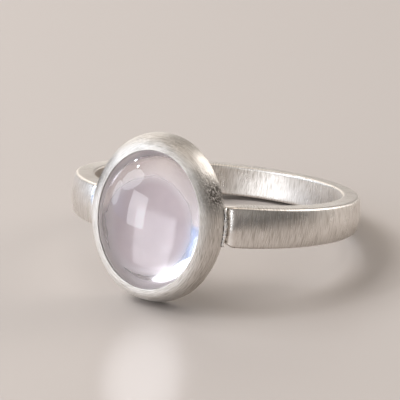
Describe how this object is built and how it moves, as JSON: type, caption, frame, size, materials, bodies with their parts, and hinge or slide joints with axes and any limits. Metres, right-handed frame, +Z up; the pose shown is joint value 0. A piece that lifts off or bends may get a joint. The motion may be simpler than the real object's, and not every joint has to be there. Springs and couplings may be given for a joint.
{
  "type": "crystal ring",
  "caption": "Silver ring with a plain tapering band and one oval domed pale pink stone in a chunky rounded bezel, lying on its side.",
  "frame": {"origin": "on the surface that the ring lies on, below the middle of its bounding box", "axes": "+Z up; -Y towards the side that the stone faces; X across the ring, the plane X = 0 halves it"},
  "size_m": [0.0198, 0.0218, 0.0111],
  "materials": {
    "brushed_silver": "satin silver, fine brush lines across the band and along the bezel, polished at the soldered joints",
    "pink_crystal": "polished clear stone with a pale pink-lilac tint"
  },
  "bodies": {
    "root": {"band_and_bezel": "brushed_silver", "crystal_cabochon": "pink_crystal"}
  },
  "joints": []
}
